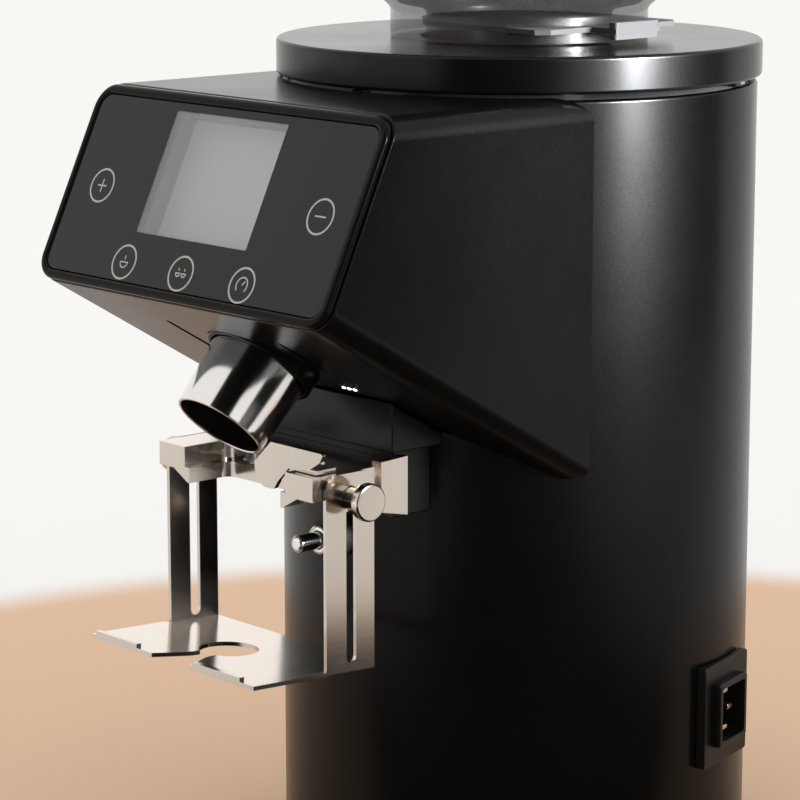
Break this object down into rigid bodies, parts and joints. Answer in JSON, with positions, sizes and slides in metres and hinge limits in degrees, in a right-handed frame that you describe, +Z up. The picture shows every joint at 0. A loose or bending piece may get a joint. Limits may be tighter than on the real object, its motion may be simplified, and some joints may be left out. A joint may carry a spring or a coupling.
{
  "type": "burr coffee grinder",
  "caption": "Electric burr coffee grinder: round column, slanted touch-panel head, angled outlet spout, portafilter fork with a height-adjustable tray, bean hopper on a grind collar.",
  "frame": {"origin": "the middle of the foot pad's underside, on the column's axis", "axes": "+Z up the column; the panel, spout and fork face -Y, and +X is the machine's right flank"},
  "size_m": [0.1806, 0.2537, 0.427],
  "materials": {
    "black_paint": "satin black powder coat",
    "black_plastic": "fine-grained black plastic",
    "smoked_plastic": "clear smoked plastic",
    "panel_glass": "dark grey glass with a black printed border",
    "polished_steel": "polished stainless steel",
    "steel": "plain bright steel",
    "chrome": "mirror chrome",
    "aluminium": "cast, machined on its faces",
    "iron": "laminated iron",
    "winding": "varnished copper wire",
    "brass": "machined brass",
    "rubber": "black rubber",
    "circuit_board": "green circuit board"
  },
  "bodies": {
    "housing": {"foot_pad": "rubber", "base_plate": "steel", "base_screw_1": "steel", "base_screw_2": "steel", "base_screw_3": "steel", "column_shell": "black_paint", "head_shell": "black_paint", "work_light": "black_plastic", "panel_bezel": "black_paint", "panel_glass": "panel_glass", "display_module": "black_plastic", "control_board": "circuit_board", "chute": "aluminium", "outlet_spout": "chrome", "spout_collar": "black_plastic", "fork_bracket": "black_paint", "portafilter_fork": "polished_steel", "fork_hook": "polished_steel", "fork_screw_1": "steel", "fork_screw_2": "steel", "button_boss": "black_plastic", "button_bush": "chrome", "start_switch": "black_plastic", "power_inlet": "black_plastic", "inlet_pin_1": "brass", "inlet_pin_2": "brass", "inlet_pin_3": "brass", "run_capacitor": "aluminium", "power_board": "circuit_board", "motor_end_bell": "aluminium", "motor_top_bell": "aluminium", "stator_core": "iron", "winding_lower": "winding", "winding_upper": "winding", "bearing_lower": "steel", "bearing_upper": "steel", "motor_stud_1": "steel", "motor_stud_2": "steel", "motor_stud_3": "steel", "grind_chamber": "aluminium", "flange_screw_1": "steel", "flange_screw_2": "steel", "flange_screw_3": "steel", "wave_spring": "steel"},
    "drive": {"drive_shaft": "steel", "rotor": "iron", "cooling_fan": "black_plastic", "burr_carrier_lower": "aluminium", "burr_lower": "steel", "shaft_nut": "steel"},
    "upper_burr_set": {"burr_carrier_upper": "brass", "burr_upper": "steel"},
    "collar": {"adjustment_collar": "black_paint"},
    "hopper_body": {"hopper": "smoked_plastic"},
    "gate": {"hopper_gate": "black_plastic"},
    "lid": {"hopper_lid": "black_plastic"},
    "tray": {"tray_frame": "polished_steel"},
    "clamp_left": {"clamp_screw_left": "polished_steel"},
    "clamp_right": {"clamp_screw_right": "polished_steel"},
    "button": {"start_button": "chrome"}
  },
  "joints": [
    {"name": "motor_spin", "type": "hinge", "parent": "housing", "child": "drive", "pos_m": [0, 0, 0.115], "axis": [0, 0, 1], "continuous": true},
    {"name": "collar_turn", "type": "hinge", "parent": "housing", "child": "collar", "pos_m": [0, 0, 0.2995], "axis": [0, 0, 1], "range_deg": [-20, 300]},
    {"name": "burr_lift", "type": "slide", "parent": "housing", "child": "upper_burr_set", "axis": [0, 0, 1], "range_m": [-0.0001, 0.0013]},
    {"name": "hopper_lift", "type": "slide", "parent": "collar", "child": "hopper_body", "axis": [0, 0, 1], "range_m": [0, 0.05]},
    {"name": "gate_slide", "type": "slide", "parent": "hopper_body", "child": "gate", "axis": [1, 0, 0], "range_m": [0, 0.065]},
    {"name": "lid_lift", "type": "slide", "parent": "hopper_body", "child": "lid", "axis": [0, 0, 1], "range_m": [0, 0.06]},
    {"name": "tray_slide", "type": "slide", "parent": "housing", "child": "tray", "axis": [0, 0, 1], "range_m": [0, 0.025]},
    {"name": "clamp_left_turn", "type": "hinge", "parent": "housing", "child": "clamp_left", "pos_m": [-0.052, -0.1203, 0.1588], "axis": [-1, 0, 0], "range_deg": [0, 360]},
    {"name": "clamp_right_turn", "type": "hinge", "parent": "housing", "child": "clamp_right", "pos_m": [0.052, -0.1203, 0.1588], "axis": [1, 0, 0], "range_deg": [0, 360]},
    {"name": "start_press", "type": "slide", "parent": "housing", "child": "button", "axis": [0, 1, 0], "range_m": [0, 0.003], "stiffness_N_per_m": 300, "springref_m": -0.002}
  ],
  "couplings": [
    {"joint": "burr_lift", "follows": "collar_turn", "m_per_rad": 0.00023873}
  ]
}
